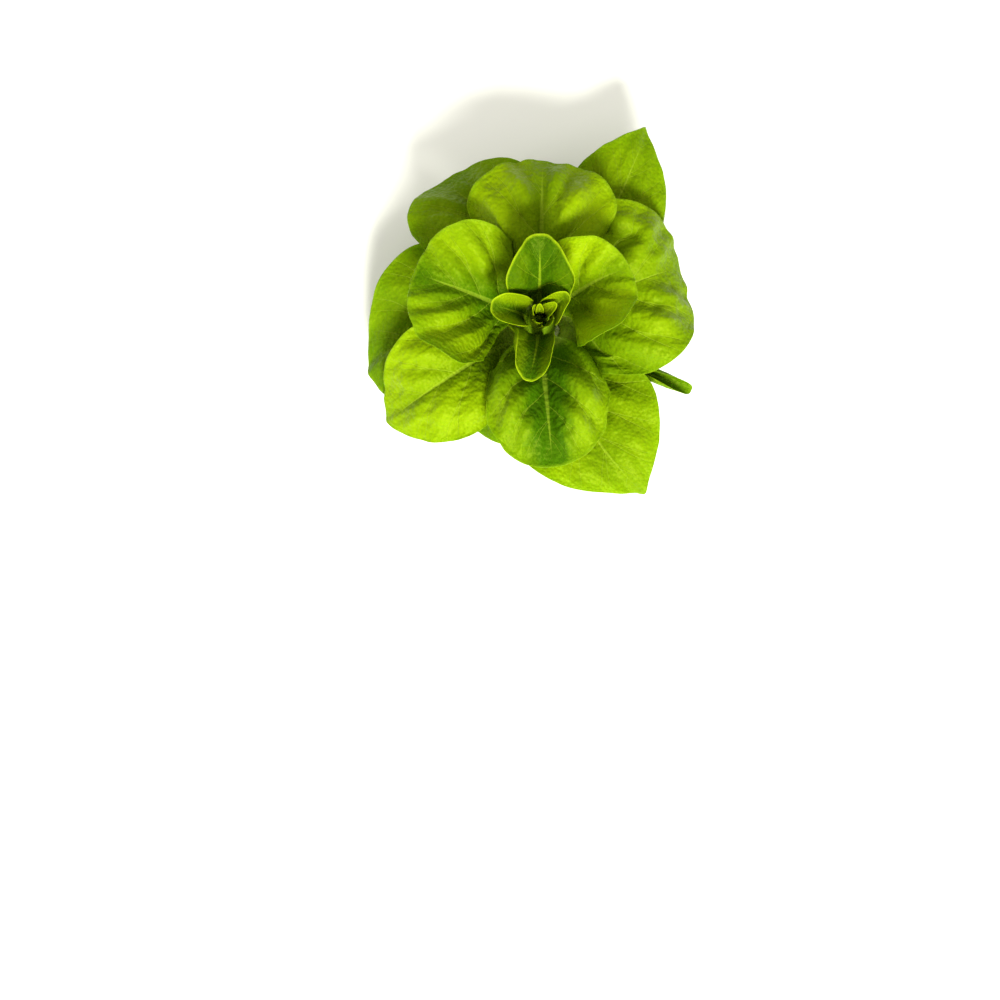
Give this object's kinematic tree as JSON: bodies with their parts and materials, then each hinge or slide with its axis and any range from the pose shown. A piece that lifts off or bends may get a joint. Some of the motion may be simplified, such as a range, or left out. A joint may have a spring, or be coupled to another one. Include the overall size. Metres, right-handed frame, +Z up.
{
  "type": "butterhead lettuce",
  "caption": "Loose open head of butterhead lettuce: broad soft cupped leaves spiral round a pale heart on a short stem, standing on its flat cut.",
  "frame": {"origin": "centre of the stem's flat cut face, on the surface that the head stands on", "axes": "+Z up along the stem, +Y the way the longest leaf spread runs, seen as up in a view from above"},
  "size_m": [0.1994, 0.2229, 0.1088],
  "materials": {
    "leaf_green": "satin, waxy leaf",
    "heart_green": "satin, waxy leaf",
    "stem_pale": "matt, moist cut"
  },
  "bodies": {
    "root": {"stem": "stem_pale", "heart": "heart_green", "inner_leaf_1": "heart_green", "inner_leaf_2": "heart_green", "inner_leaf_3": "heart_green", "inner_leaf_4": "heart_green", "middle_leaf_1": "leaf_green", "middle_leaf_2": "leaf_green", "middle_leaf_3": "leaf_green", "middle_leaf_4": "leaf_green", "outer_leaf_1": "leaf_green", "outer_leaf_2": "leaf_green", "outer_leaf_3": "leaf_green", "outer_leaf_4": "leaf_green", "outer_leaf_5": "leaf_green", "outer_leaf_6": "leaf_green", "low_leaf_1": "leaf_green", "low_leaf_2": "leaf_green", "low_leaf_3": "leaf_green", "low_leaf_4": "leaf_green"}
  },
  "joints": []
}
